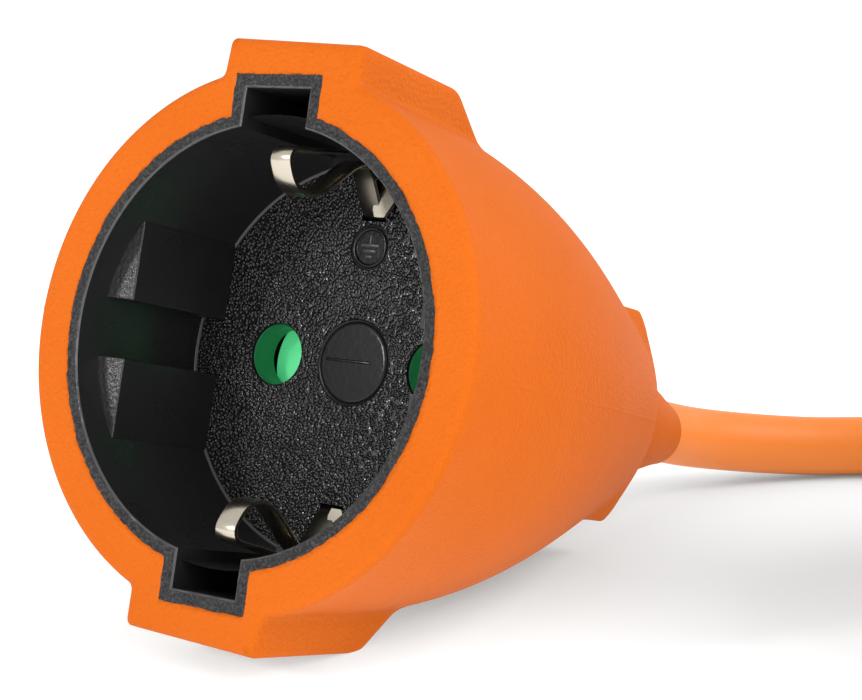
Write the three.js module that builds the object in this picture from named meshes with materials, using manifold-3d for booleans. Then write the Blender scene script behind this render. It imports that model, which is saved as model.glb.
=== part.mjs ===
// Extension cord: an orange moulded Schuko coupler (CEE 7/3 socket on a lead), 3 m of cord
// put away in a tied coil, and a moulded CEE 7/7 plug on its other end.
// Millimetres, +Z up, standing on z = 0.
//
// The coupler and the plug are each made in their own frame: y runs back along the axis from
// the front face, x is along the line of the two pins and z points at the upper earth clip.
// Each lies on the floor tipped back, so its group is turned about X and then placed.
import * as THREE from 'three';
import { mergeVertices } from 'three/addons/utils/BufferGeometryUtils.js';
import Module from 'manifold-3d';

const wasm = await Module();
wasm.setup();

// ---------------------------------------------------------------- driving dimensions
const GAP = 0.3; // air between pieces that touch
const SEGMENTS = 48; // round a large diameter
const FINE = 20; // round a small diameter

const PIN_PITCH = 19; // CEE 7 pin spacing
const WELL_RADIUS = 19.6;
const WELL_DEPTH = 17.6;
const WELL_FLOOR = 2.4; // thickness
const INSERT_RADIUS = 20.9;
const PIN_HOLE_RADIUS = 3; // in the shutter
const FLOOR_HOLE_RADIUS = 3.2; // in the well's floor, round the shutter cage's bosses
const NOTCH_HALF_WIDTH = 3.7; // the slots over the earth clips
const NOTCH_REACH = 23.1;
const NOTCH_DEPTH = 14.8;
const NOTCH_WALL = 1.1;
const GUIDE_CHORD = 16.7; // the flat of each side guide, measured from the axis
const GUIDE_FRONT = 3.6; // how far the guides stand back from the face
const GUIDE_CHANNEL = 2.8; // half the width of the channel between two guides

const BODY_LENGTH = 59;
const BODY_FRONT_RADIUS = 25.4;
const BODY_EDGE = 1; // rounding of the front edge
const LUG_HALF_WIDTH = 7.8;
const LUG_REACH = 27.2;
const LUG_FLAT = 15.6;
const REAR_FLAT = 11.8; // height of the flats at the rear end
const REAR_HALF_WIDTH = 8;
const SLEEVE_ROLL = 2.3; // degrees the sleeve sits turned about its axis against the insert
const BORE_RADIUS = 6.4;

const CAGE_DEPTH = 4; // from the well's floor to the back of the shutter cage
const CAGE_BOSS_RADIUS = 2.9;
const CAGE_BORE_RADIUS = 2.65;
const SHUTTER_RADIUS = 13.2;
const SHUTTER_FRONT = WELL_DEPTH + CAGE_DEPTH + 0.5;
const SHUTTER_THICKNESS = 2.6;
const SHUTTER_TURN = THREE.MathUtils.degToRad(40); // from closed to open
const HUB_RADIUS = 2;
const CARRIER_FRONT = 26;
const CARRIER_BACK = 40;
const CLIP_WIDTH = 2.3;
const CLIP_THICKNESS = 0.5;
const CLIP_ROOT = 14.2; // distance of the clip's root from the axis
const COLLAR_START = BODY_LENGTH + GAP;
const COLLAR_END = 83;

const CORD_RADIUS = 3.75;
const COUPLER_TILT = THREE.MathUtils.degToRad(14.6);
const COUPLER_AXIS_HEIGHT = 30.1; // at the front face
const FLOOR_SHIFT = -37.5; // brings the coupler's box to the middle in y

const COIL_CENTRE = new THREE.Vector2(100, 64.3 + FLOOR_SHIFT);
const COIL_OUTER_TURN = 51.5; // radius of the outermost turn's centreline
const TURN_PITCH = 7.7;
const COIL_LAYERS = 4;
const TURNS_PER_LAYER = 2.75;
const TIE_WIDTH = 16;
const TIE_THICKNESS = 0.9;
const TIE_ANGLE = THREE.MathUtils.degToRad(240);

const PLUG_RADIUS = 18.4;
const PLUG_INSERTED = 16.5; // the length that goes into a socket
const PLUG_LENGTH = 45;
const PLUG_PIN_RADIUS = 2.4;
const PLUG_PIN_LENGTH = 19;
const PLUG_RELIEF = 25; // length of the strain relief behind the plug
const PLUG_EARTH_HOLE = -10; // height of the hole for a socket's earth pin
const PLUG_TILT = THREE.MathUtils.degToRad(15);

// ---------------------------------------------------------------- materials
const paint = (color, roughness, metalness = 0) =>
  new THREE.MeshStandardMaterial({ color, roughness, metalness });
const ORANGE = paint(0xee7a2b, 0.62);
const ORANGE_CORD = paint(0xf07a28, 0.42);
const BLACK = paint(0x17181b, 0.35);
const GREEN = paint(0x0c8a55, 0.4);
const DARK_PLASTIC = paint(0x2a2c30, 0.55);
const NICKEL = paint(0xb9ab94, 0.25, 1);
const BRASS = paint(0xc9a352, 0.3, 1);
const STEEL = paint(0x9a9ea3, 0.3, 1);
const BROWN = paint(0x5a3420, 0.5);
const BLUE = paint(0x2c62b5, 0.5);
const GREEN_YELLOW = paint(0x9bb52c, 0.5);
const STRAP = paint(0x1c1c1e, 0.85);

// ---------------------------------------------------------------- solids
/** A manifold of a closed geometry. */
function solid(geometry) {
  const bare = geometry.index ? geometry.toNonIndexed() : geometry.clone();
  bare.deleteAttribute('normal');
  bare.deleteAttribute('uv');
  const merged = mergeVertices(bare, 1e-4);
  const mesh = new wasm.Mesh({
    numProp: 3,
    vertProperties: Float32Array.from(merged.attributes.position.array),
    triVerts: Uint32Array.from(merged.index.array),
  });
  return new wasm.Manifold(mesh);
}

/** The geometry of a manifold. */
function geometryOf(manifold) {
  const mesh = manifold.getMesh();
  const geometry = new THREE.BufferGeometry();
  geometry.setAttribute('position', new THREE.BufferAttribute(mesh.vertProperties, 3));
  geometry.setIndex(new THREE.BufferAttribute(mesh.triVerts, 1));
  return geometry;
}

/** A named mesh of a manifold, added to its group. */
function piece(group, name, manifold, material) {
  const mesh = new THREE.Mesh(geometryOf(manifold), material);
  mesh.name = name;
  group.add(mesh);
}

/** A solid of revolution about y from [radius, y] points that start and end on the axis. */
function turned(points, segments = SEGMENTS) {
  const profile = points.map(([radius, y]) => new THREE.Vector2(radius, y));
  if (!THREE.ShapeUtils.isClockWise(profile)) {
    return solid(new THREE.LatheGeometry(profile, segments));
  }
  return solid(new THREE.LatheGeometry(profile.reverse(), segments));
}

/** A cylinder along y between two depths, centred on x, z. */
function rod(radius, from, to, x = 0, z = 0, segments = FINE) {
  const geometry = new THREE.CylinderGeometry(radius, radius, to - from, segments);
  geometry.translate(x, (from + to) / 2, z);
  return solid(geometry);
}

/** A box between two corners. */
function block([x0, y0, z0], [x1, y1, z1]) {
  const geometry = new THREE.BoxGeometry(x1 - x0, y1 - y0, z1 - z0);
  geometry.translate((x0 + x1) / 2, (y0 + y1) / 2, (z0 + z1) / 2);
  return solid(geometry);
}

/** A prism: an outline of [y, z] points extruded along x, centred on x = middle. */
function prismAlongX(outline, width, middle = 0) {
  const shape = new THREE.Shape(outline.map(([y, z]) => new THREE.Vector2(y, z)));
  const geometry = new THREE.ExtrudeGeometry(shape, { depth: width, bevelEnabled: false });
  const [xAxis, yAxis, zAxis] = [[0, 1, 0], [0, 0, 1], [1, 0, 0]].map((a) => new THREE.Vector3(...a));
  geometry.applyMatrix4(new THREE.Matrix4().makeBasis(xAxis, yAxis, zAxis));
  geometry.translate(middle - width / 2, 0, 0);
  return solid(geometry);
}

/** A prism: a Shape in x, z extruded along y between two depths. */
function prismAlongY(shape, from, to) {
  const geometry = new THREE.ExtrudeGeometry(shape, {
    depth: to - from,
    bevelEnabled: false,
    curveSegments: 6,
  });
  geometry.rotateX(Math.PI / 2);
  geometry.translate(0, to, 0);
  return solid(geometry);
}

/** A strip of sheet bent along a path of [y, z] points, its width along x. */
function bentStrip(path, thickness, width) {
  const points = path.map(([y, z]) => new THREE.Vector2(y, z));
  const side = (sign) =>
    points.map((point, i) => {
      const before = points[Math.max(i - 1, 0)];
      const after = points[Math.min(i + 1, points.length - 1)];
      const along = after.clone().sub(before).normalize();
      return [point.x - (sign * along.y * thickness) / 2, point.y + (sign * along.x * thickness) / 2];
    });
  return prismAlongX([...side(1), ...side(-1).reverse()], width);
}

/** A round tube along a curve through the given points. */
function tube(points, radius, steps, sides = 10) {
  const path = new THREE.CatmullRomCurve3(points, false, 'centripetal');
  const section = new THREE.Shape();
  for (let i = 0; i <= sides; i++) {
    const angle = (i / sides) * 2 * Math.PI;
    const [x, y] = [radius * Math.cos(angle), radius * Math.sin(angle)];
    if (i === 0) section.moveTo(x, y);
    else section.lineTo(x, y);
  }
  return solid(new THREE.ExtrudeGeometry(section, { extrudePath: path, steps, bevelEnabled: false }));
}

const mirrored = (manifold) => manifold.mirror([0, 0, 1]);

// ---------------------------------------------------------------- coupler
/** The outer radius of the coupler's body at a depth: almost straight, then a long round taper. */
const bodyCurve = new THREE.SplineCurve([
  new THREE.Vector2(BODY_EDGE, BODY_FRONT_RADIUS),
  new THREE.Vector2(15, 24.4),
  new THREE.Vector2(30, 21.9),
  new THREE.Vector2(45, 17.1),
  new THREE.Vector2(55, 13.5),
  new THREE.Vector2(BODY_LENGTH, 11.6),
]);

/** A lug that covers one earth clip's slot: flat on the outside, sloped down at its rear. */
function lug() {
  return prismAlongX(
    [[0.6, 22], [0.6, LUG_REACH], [LUG_FLAT, LUG_REACH - 0.5], [20.8, 22.4], [22, 20], [12, 20]],
    2 * LUG_HALF_WIDTH,
  );
}

/** The flat-topped end block, whose corners stand out of the taper in line with the lugs. */
function endBlock() {
  const side = REAR_FLAT - 0.4;
  const outline = new THREE.Shape();
  outline.moveTo(-REAR_HALF_WIDTH, REAR_FLAT);
  outline.lineTo(REAR_HALF_WIDTH, REAR_FLAT);
  outline.quadraticCurveTo(side, REAR_FLAT / 2, side, 0);
  outline.quadraticCurveTo(side, -REAR_FLAT / 2, REAR_HALF_WIDTH, -REAR_FLAT);
  outline.lineTo(-REAR_HALF_WIDTH, -REAR_FLAT);
  outline.quadraticCurveTo(-side, -REAR_FLAT / 2, -side, 0);
  outline.quadraticCurveTo(-side, REAR_FLAT / 2, -REAR_HALF_WIDTH, REAR_FLAT);
  return prismAlongY(outline, 48, BODY_LENGTH);
}

/** The slot over an earth clip, with its wall or as a hollow. */
function notch(halfWidth, reach, depth) {
  return block([-halfWidth, -1, 15], [halfWidth, depth, reach]);
}

function outerSleeve() {
  const edge = [];
  for (let i = 0; i <= 3; i++) {
    const angle = (i / 3) * (Math.PI / 2);
    const out = BODY_FRONT_RADIUS - BODY_EDGE * (1 - Math.sin(angle));
    edge.push([out, BODY_EDGE * (1 - Math.cos(angle))]);
  }
  const taper = bodyCurve.getPoints(14).slice(1).map(({ x, y }) => [y, x]);
  const body = turned([[0, 0], ...edge, ...taper, [0, BODY_LENGTH]]);
  const hollow = turned([
    [0, -1],
    [INSERT_RADIUS + GAP, -1],
    [INSERT_RADIUS + GAP, WELL_DEPTH + WELL_FLOOR + 0.6],
    [19.9, 23.6],
    [15.9, CARRIER_BACK + 0.3],
    [15.9, 43.5],
    [BORE_RADIUS, 50],
    [BORE_RADIUS, BODY_LENGTH + 1],
    [0, BODY_LENGTH + 1],
  ]);
  const slot = notch(
    NOTCH_HALF_WIDTH + NOTCH_WALL + GAP,
    NOTCH_REACH + NOTCH_WALL + GAP,
    NOTCH_DEPTH + NOTCH_WALL + GAP,
  );
  const corners = lug().add(mirrored(lug())).add(endBlock()).rotate([0, SLEEVE_ROLL, 0]);
  return body.add(corners).subtract(hollow).subtract(slot).subtract(mirrored(slot));
}

/** One side guide: a segment of the well cut off by a chord, split by the middle channel. */
function guides(side) {
  const segment = rod(WELL_RADIUS + 0.5, GUIDE_FRONT, WELL_DEPTH + 0.5, 0, 0, SEGMENTS);
  const keep = side > 0 ? [GUIDE_CHORD, 25] : [-25, -GUIDE_CHORD];
  const upper = block([keep[0], 0, GUIDE_CHANNEL], [keep[1], 20, 12]);
  return segment.intersect(upper.add(mirrored(upper)));
}

function socketInsert() {
  const back = WELL_DEPTH + WELL_FLOOR;
  const cup = rod(INSERT_RADIUS, 0, back, 0, 0, SEGMENTS);
  const well = rod(WELL_RADIUS, -1, WELL_DEPTH, 0, 0, SEGMENTS);
  const shell = notch(
    NOTCH_HALF_WIDTH + NOTCH_WALL,
    NOTCH_REACH + NOTCH_WALL,
    NOTCH_DEPTH + NOTCH_WALL,
  ).intersect(block([-30, 0, 0], [30, 30, 30]));
  const hollow = notch(NOTCH_HALF_WIDTH, NOTCH_REACH, NOTCH_DEPTH);
  let insert = cup.add(shell).add(mirrored(shell)).subtract(well).subtract(hollow)
    .subtract(mirrored(hollow)).add(guides(1)).add(guides(-1));
  for (const side of [-1, 1]) {
    insert = insert.subtract(rod(FLOOR_HOLE_RADIUS, 10, 25, (side * PIN_PITCH) / 2));
  }
  const clipSlot = block([-CLIP_WIDTH / 2 - 0.4, 15, 13.1], [CLIP_WIDTH / 2 + 0.4, 25, 16.4]);
  const hub = rod(HUB_RADIUS, WELL_DEPTH + 1, CARRIER_FRONT - GAP);
  return insert.subtract(clipSlot).subtract(mirrored(clipSlot)).add(hub);
}

/** The fixed cage in front of the shutter, whose bosses line the holes in the well's floor. */
function shutterCage() {
  const front = WELL_DEPTH + WELL_FLOOR + GAP;
  const back = WELL_DEPTH + CAGE_DEPTH;
  let cage = rod(SHUTTER_RADIUS, front, back, 0, 0, SEGMENTS);
  cage = cage.subtract(rod(HUB_RADIUS + GAP, front - 1, back + 1));
  for (const side of [-1, 1]) {
    const x = (side * PIN_PITCH) / 2;
    cage = cage.add(rod(CAGE_BOSS_RADIUS, WELL_DEPTH + 0.1, back, x));
    cage = cage.subtract(rod(CAGE_BORE_RADIUS, WELL_DEPTH - 1, back + 1, x));
  }
  return cage;
}

/** The child shutter: closed over both pin holes at rest, open after part of a turn. */
function shutterDisc() {
  const front = SHUTTER_FRONT;
  const disc = rod(SHUTTER_RADIUS, front, front + SHUTTER_THICKNESS, 0, 0, SEGMENTS);
  let shutter = disc.subtract(rod(HUB_RADIUS + GAP, front - 1, front + SHUTTER_THICKNESS + 1));
  for (const side of [-1, 1]) {
    const open = new THREE.Vector2((side * PIN_PITCH) / 2, 0);
    open.rotateAround(new THREE.Vector2(), -SHUTTER_TURN);
    shutter = shutter.subtract(rod(PIN_HOLE_RADIUS, front - 1, front + 5, open.x, open.y));
    const ramp = prismAlongX(
      [[front - 1, -2.2], [front + 0.2, -2.2], [front + 1.6, 2.2], [front - 1, 2.2]],
      3,
      (side * PIN_PITCH) / 2,
    );
    shutter = shutter.subtract(side > 0 ? ramp : ramp.mirror([0, 0, 1]));
  }
  return shutter;
}

/** The return spring: one and a half turns of wire round the hub. */
function shutterSpring() {
  const points = [];
  const turns = 1.5;
  const start = SHUTTER_FRONT + SHUTTER_THICKNESS + 0.35;
  for (let i = 0; i <= 18; i++) {
    const angle = (i / 18) * turns * 2 * Math.PI;
    points.push(new THREE.Vector3(2.9 * Math.cos(angle), start + 0.03 * i, 2.9 * Math.sin(angle)));
  }
  return tube(points, 0.2, 30, 6);
}

/** The block behind the shutter that holds the contacts and the roots of the earth clips. */
function contactCarrier() {
  let carrier = turned([
    [0, CARRIER_FRONT], [18.8, CARRIER_FRONT], [15.6, CARRIER_BACK], [0, CARRIER_BACK],
  ]);
  for (const side of [-1, 1]) {
    const x = (side * PIN_PITCH) / 2;
    carrier = carrier.subtract(rod(3.6, CARRIER_FRONT - 1, 38.2, x, 0, FINE));
    carrier = carrier.subtract(rod(2, 35, CARRIER_BACK + 1, x, 0, FINE));
  }
  const earthSlot = block([-2.9, CARRIER_FRONT - 1, 13.3], [2.9, CARRIER_BACK + 1, 20]);
  return carrier.subtract(earthSlot).subtract(mirrored(earthSlot));
}

/** A pin contact: a slit sleeve with a closed back and a crimp barrel for the core. */
function pinContact(side) {
  const x = (side * PIN_PITCH) / 2;
  const mouth = CARRIER_FRONT + 0.5;
  const section = [[0, 37.8], [3.2, 37.8], [3.2, mouth], [2.45, mouth], [2.45, 37], [0, 37]];
  const sleeve = turned(section, FINE).translate([x, 0, 0]);
  const barrel = rod(1.6, 37.4, 43.6, x, 0, FINE);
  const slit = block([x - 5, CARRIER_FRONT - 1, -0.35], [x + 5, 34, 0.35]);
  return sleeve.add(barrel).subtract(slit);
}

/** An earth clip: sheet bent from its root, out to the wall, in to the hump and round the nose.
 * A tab stands out to one side of its rear leg. */
function earthClip() {
  const path = [
    [31, CLIP_ROOT], [18.4, CLIP_ROOT], [17.4, 14.7], [14.8, 18], [13.6, 18.8], [12.4, 18.4],
    [9, 15.9], [7.3, 14.8], [5.7, 14.35], [4.4, 14.5], [3.3, 15.1], [2.5, 16.1], [2.1, 17.1],
    [2.5, 17.9], [6.5, 18.6], [10.5, 19.3],
  ];
  const tab = new THREE.Shape(
    [[0.8, 14.9], [1.1, 14.2], [1.9, 14.2], [2.7, 15.8], [2.9, 17.9], [0.8, 17.9]]
      .map(([x, z]) => new THREE.Vector2(x, z)),
  );
  return bentStrip(path, CLIP_THICKNESS, CLIP_WIDTH).add(prismAlongY(tab, 16.5, 17));
}

/** The strap that joins both clip roots behind the carrier. */
function earthBracket() {
  const reach = CLIP_ROOT + 0.8;
  const arm = block([-2.4, 31.4, CLIP_ROOT], [2.4, 41.4, reach]);
  const bar = block([-2.4, CARRIER_BACK + GAP, -reach], [2.4, CARRIER_BACK + 1.2, reach]);
  const barrel = rod(1.6, 41, 43.6, 0, 5, FINE);
  return bar.add(arm).add(mirrored(arm)).add(barrel);
}

/** One insulated core, from a crimp barrel to the end of the cord's sheath. */
function coreTo(x, z, endX, endZ, from, to) {
  return tube(
    [
      new THREE.Vector3(x, from, z),
      new THREE.Vector3(x, from + (to - from) * 0.25, z),
      new THREE.Vector3(endX, from + (to - from) * 0.75, endZ),
      new THREE.Vector3(endX, to, endZ),
    ],
    1.3,
    8,
    8,
  );
}

/** The strain relief: a plug in the body's bore, then a collar that rounds down to the cord. */
function strainRelief() {
  return turned(
    [
      [0, 50.3], [BORE_RADIUS - GAP, 50.3], [BORE_RADIUS - GAP, COLLAR_START], [7.3, COLLAR_START],
      [7.1, 66], [6.7, 70.5], [6.1, 73.6], [5.3, 76.7], [4.6, 79.6], [4.1, 82], [3.9, COLLAR_END],
      [0, COLLAR_END],
    ],
    28,
  );
}

function coupler() {
  const group = new THREE.Group();
  piece(group, 'outer_sleeve', outerSleeve(), ORANGE);
  piece(group, 'socket_insert', socketInsert(), BLACK);
  piece(group, 'shutter_cage', shutterCage(), GREEN);
  piece(group, 'shutter_disc', shutterDisc(), GREEN);
  piece(group, 'shutter_spring', shutterSpring(), STEEL);
  piece(group, 'contact_carrier', contactCarrier(), DARK_PLASTIC);
  piece(group, 'live_contact', pinContact(-1), BRASS);
  piece(group, 'neutral_contact', pinContact(1), BRASS);
  piece(group, 'earth_clip_upper', earthClip(), NICKEL);
  piece(group, 'earth_clip_lower', mirrored(earthClip()), NICKEL);
  piece(group, 'earth_bracket', earthBracket(), BRASS);
  const coreStart = 43.9;
  const coreEnd = 50;
  piece(group, 'live_core', coreTo(-PIN_PITCH / 2, 0, -2.6, -1.5, coreStart, coreEnd), BROWN);
  piece(group, 'neutral_core', coreTo(PIN_PITCH / 2, 0, 2.6, -1.5, coreStart, coreEnd), BLUE);
  piece(group, 'earth_core', coreTo(0, 5, 0, 2.8, coreStart, coreEnd), GREEN_YELLOW);
  piece(group, 'strain_relief', strainRelief(), ORANGE);
  group.rotation.x = -COUPLER_TILT;
  group.position.set(0, FLOOR_SHIFT, COUPLER_AXIS_HEIGHT);
  return group;
}

// ---------------------------------------------------------------- cord
/** The lead: straight out of the collar, down to the floor, and round to the coil. */
const LEAD_ROUTE = [
  [0, 80.6, 8.5], [0.1, 85, 7.35], [1, 89.5, 6.3], [3, 94, 5.4], [5.8, 98.7, 4.6], [9.4, 103.4, 4],
  [13.8, 107.8, 3.78], [19.5, 111.7, 3.75], [26.5, 114.5, 3.75], [35, 115.8, 3.75], [50, 115.8, 3.75],
  [75, 115.8, 3.75], [100, 115.8, 3.75],
].map(([x, y, z]) => new THREE.Vector3(x, y + FLOOR_SHIFT, z));

/** The tail: off the top of the coil, curling in over it to the plug. */
const TAIL_ROUTE = [
  [100, 114.3, 35.2], [108, 113.2, 35.2], [115.5, 110.1, 35.3], [121.9, 105.2, 35.4],
  [126.8, 98.8, 35.6], [129.9, 91.3, 35.9], [131, 83.3, 36.8], [131, 78.3, 38.1],
].map(([x, y, z]) => new THREE.Vector3(x, y + FLOOR_SHIFT, z));

/** The space that the coiled turns fill. */
const COIL = {
  outer: COIL_OUTER_TURN + CORD_RADIUS,
  inner: COIL_OUTER_TURN - TURNS_PER_LAYER * TURN_PITCH - CORD_RADIUS,
  height: (COIL_LAYERS - 1) * TURN_PITCH + 2 * CORD_RADIUS,
};

/** The ring of coiled turns, standing on the floor. */
function coilRing(outer = COIL.outer) {
  const round = 2.5;
  const section = [
    [COIL.inner + round, 0], [outer - round, 0], [outer, round],
    [outer, COIL.height - round], [outer - round, COIL.height],
    [COIL.inner + round, COIL.height], [COIL.inner, COIL.height - round], [COIL.inner, round],
    [COIL.inner + round, 0],
  ].map(([radius, z]) => new THREE.Vector2(radius, z));
  const geometry = new THREE.LatheGeometry(section, 40);
  geometry.rotateX(Math.PI / 2);
  geometry.translate(COIL_CENTRE.x, COIL_CENTRE.y, 0);
  return solid(geometry);
}

/** A solid made across the turns where they cross the x axis, moved to where the tie is. */
function atTie(manifold) {
  const around = manifold.rotate([0, 0, THREE.MathUtils.radToDeg(TIE_ANGLE)]);
  return around.translate([COIL_CENTRE.x, COIL_CENTRE.y, 0]);
}

/** A flat band round the bundle of turns, straight across the ring's curved inner side. */
function tieBand() {
  const bow = COIL.inner - Math.sqrt(COIL.inner ** 2 - (TIE_WIDTH / 2) ** 2);
  const [from, to] = [COIL.inner - bow - GAP, COIL.outer + GAP];
  const outside = block(
    [from - TIE_THICKNESS, -TIE_WIDTH / 2, 0],
    [to + TIE_THICKNESS, TIE_WIDTH / 2, COIL.height + GAP + TIE_THICKNESS],
  );
  const inside = block([from, -TIE_WIDTH, TIE_THICKNESS], [to, TIE_WIDTH, COIL.height + GAP]);
  return atTie(outside.subtract(inside));
}

/** The space under the ring that the tie passes through. */
function tieRecess() {
  return atTie(
    block([0, -TIE_WIDTH / 2 - GAP, -5], [80, TIE_WIDTH / 2 + GAP, TIE_THICKNESS + GAP]),
  );
}

function cord() {
  const group = new THREE.Group();
  const lead = tube(LEAD_ROUTE, CORD_RADIUS, 24).subtract(coilRing(COIL.outer + GAP));
  piece(group, 'cord_lead', lead, ORANGE_CORD);
  piece(group, 'cord_coil', coilRing().subtract(tieRecess()), ORANGE_CORD);
  piece(group, 'cord_tail', tube(TAIL_ROUTE, CORD_RADIUS, 10), ORANGE_CORD);
  piece(group, 'coil_tie', tieBand(), STRAP);
  return group;
}

// ---------------------------------------------------------------- plug
function plugBody() {
  const body = turned([
    [0, 0], [PLUG_RADIUS - 0.8, 0], [PLUG_RADIUS, 0.8], [PLUG_RADIUS, PLUG_INSERTED], [19.4, 19],
    [19.4, 23], [16.5, 29], [11.5, 35], [8.6, 41], [8, PLUG_LENGTH], [0, PLUG_LENGTH],
  ]);
  const seat = rod(PLUG_RADIUS - 2.2, -1, 6, 0, 0, SEGMENTS);
  const groove = block([GUIDE_CHORD - 0.6, -1, -2.4], [25, PLUG_INSERTED, 2.4]);
  const earthGroove = block([-2.6, -1, PLUG_RADIUS - 1.2], [2.6, PLUG_INSERTED - 1, 25]);
  const chamber = turned([[0, 5], [13.6, 5], [13.6, 25], [7.5, 33], [5, 36], [5, 46], [0, 46]], 32);
  return body.subtract(seat).subtract(groove).subtract(groove.mirror([1, 0, 0])).subtract(earthGroove)
    .subtract(mirrored(earthGroove)).subtract(chamber);
}

/** The dark face plate that holds the pins, with the hole of the earth-pin socket. */
function plugFace() {
  let face = rod(PLUG_RADIUS - 2.5, 0.2, 5.7, 0, 0, SEGMENTS);
  for (const side of [-1, 1]) {
    face = face.subtract(rod(PLUG_PIN_RADIUS + GAP, -1, 8, (side * PIN_PITCH) / 2));
  }
  return face.subtract(rod(3.4, -1, 8, 0, PLUG_EARTH_HOLE));
}

/** A plug pin with its round nose and the crimp barrel behind the face plate. */
function plugPin(side) {
  const nose = 1.6;
  return turned(
    [
      [0, -PLUG_PIN_LENGTH], [1.2, -PLUG_PIN_LENGTH], [2.1, nose * 0.4 - PLUG_PIN_LENGTH],
      [PLUG_PIN_RADIUS, nose - PLUG_PIN_LENGTH], [PLUG_PIN_RADIUS, 14], [0, 14],
    ],
    FINE,
  ).translate([(side * PIN_PITCH) / 2, 0, 0]);
}

/** One of the plug's two earth strips, in its groove and hooked into the chamber. */
function plugEarthStrip() {
  return block([-2.2, 1, PLUG_RADIUS - 0.8], [2.2, PLUG_INSERTED - 1.5, PLUG_RADIUS - 0.1]);
}

function plug() {
  const group = new THREE.Group();
  piece(group, 'plug_body', plugBody(), ORANGE);
  piece(group, 'plug_face', plugFace(), DARK_PLASTIC);
  piece(group, 'plug_live_pin', plugPin(1), NICKEL);
  piece(group, 'plug_neutral_pin', plugPin(-1), NICKEL);
  piece(group, 'plug_earth_strip_upper', plugEarthStrip(), NICKEL);
  piece(group, 'plug_earth_strip_lower', mirrored(plugEarthStrip()), NICKEL);
  const earthSocket = rod(3.1, 1, 13, 0, PLUG_EARTH_HOLE);
  const earthHole = rod(2.5, 0, 12, 0, PLUG_EARTH_HOLE);
  piece(group, 'plug_earth_socket', earthSocket.subtract(earthHole), BRASS);
  piece(group, 'plug_live_core', coreTo(PIN_PITCH / 2, 0, 2.2, -1.4, 14.3, 35), BROWN);
  piece(group, 'plug_neutral_core', coreTo(-PIN_PITCH / 2, 0, -2.2, -1.4, 14.3, 35), BLUE);
  piece(group, 'plug_earth_core', coreTo(0, PLUG_EARTH_HOLE, 0, 2.4, 13.3, 35), GREEN_YELLOW);
  const relief = turned(
    [
      [0, 35.3], [5 - GAP, 35.3], [5 - GAP, PLUG_LENGTH + GAP], [6.6, PLUG_LENGTH + GAP],
      [4.3, PLUG_LENGTH + PLUG_RELIEF], [0, PLUG_LENGTH + PLUG_RELIEF],
    ],
    24,
  );
  piece(group, 'plug_strain_relief', relief, ORANGE);
  return group;
}

/** The plug as it lies on the coil, its pins towards -y and its relief at the tail's end. */
function placedPlug() {
  const group = plug();
  const length = PLUG_LENGTH + PLUG_RELIEF;
  const tailEnd = TAIL_ROUTE[TAIL_ROUTE.length - 1];
  group.rotation.x = -PLUG_TILT;
  group.position.set(
    tailEnd.x,
    tailEnd.y - GAP - length * Math.cos(PLUG_TILT),
    tailEnd.z + length * Math.sin(PLUG_TILT),
  );
  return group;
}

const extensionCord = new THREE.Group();
extensionCord.add(coupler(), cord(), placedPlug());
export default extensionCord;
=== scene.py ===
import math

import bpy
import numpy as np
from mathutils import Matrix, Vector
from mathutils.geometry import delaunay_2d_cdt


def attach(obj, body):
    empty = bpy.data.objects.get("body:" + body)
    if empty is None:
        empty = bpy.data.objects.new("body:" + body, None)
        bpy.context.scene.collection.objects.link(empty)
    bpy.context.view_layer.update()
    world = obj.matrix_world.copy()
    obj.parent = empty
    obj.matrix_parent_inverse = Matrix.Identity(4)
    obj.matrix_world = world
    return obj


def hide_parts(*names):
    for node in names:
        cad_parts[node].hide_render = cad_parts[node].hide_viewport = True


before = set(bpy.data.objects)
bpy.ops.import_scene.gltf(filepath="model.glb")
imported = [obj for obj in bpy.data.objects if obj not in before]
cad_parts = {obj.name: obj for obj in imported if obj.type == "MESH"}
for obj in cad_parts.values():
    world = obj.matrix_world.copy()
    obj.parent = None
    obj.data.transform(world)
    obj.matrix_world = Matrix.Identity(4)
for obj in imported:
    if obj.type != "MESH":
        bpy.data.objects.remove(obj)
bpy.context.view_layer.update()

RNG = np.random.default_rng(7)
MM = 0.001

# ---------------------------------------------------------------- driving dimensions (mm)
TILT = math.radians(14.6)
AXIS_HEIGHT = 30.1
FLOOR_SHIFT = -37.5
WELL_RADIUS = 19.8
WELL_DEPTH = 17.6
RIM_WIDTH = 1.0
NOTCH_HALF_WIDTH = 3.7
NOTCH_REACH = 23.1
NOTCH_DEPTH = 14.8
NOTCH_WALL = 1.1
PIN_X = 9.5
HOLE_RADIUS = 3.05
MARK_CENTRE = (0.0, 11.35)
MARK_RADIUS = 2.3
FIELD_RADIUS = 4.3  # the round field in the middle of the floor
# where the upper clip comes through the floor
SLOT = [(-1.4, 13.9), (1.4, 13.9), (1.4, 16.2), (-1.4, 16.2)]
HOLE_WALL = 2.4  # how far the walls of the floor's holes run back
GUIDE_CHORD = 16.7
GUIDE_FRONT = 3.6
GUIDE_CHANNEL = 2.8
GUIDE_SLOPE = 0.2  # how far a guide's front comes forward for each millimetre outwards
SHUTTER_TURN = 40.0  # degrees the disc turns to open
DISC_RADIUS = 13.2
DISC_HOLE_RADIUS = 3.2
DISC_FRONT = 21.6
DISC_BACK = 24.7
PAD_DEPTH = 1.5  # how far the disc's closed faces stand out from its plate
PAD_RADIUS = 5.85
DISC_HUB_RADIUS = 2.35
CAGE_HUB_RADIUS = 2.3
CAGE_FRONT = WELL_DEPTH + 2.7
CAGE_BACK = 20.9
LINER_BACK = 21.1
BODY_LENGTH = 59.0
CORD_RADIUS = 3.75

COUPLER = (
    Matrix.Translation((0, FLOOR_SHIFT * MM, AXIS_HEIGHT * MM))
    @ Matrix.Rotation(-TILT, 4, "X")
    @ Matrix.Scale(MM, 4)
)

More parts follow.
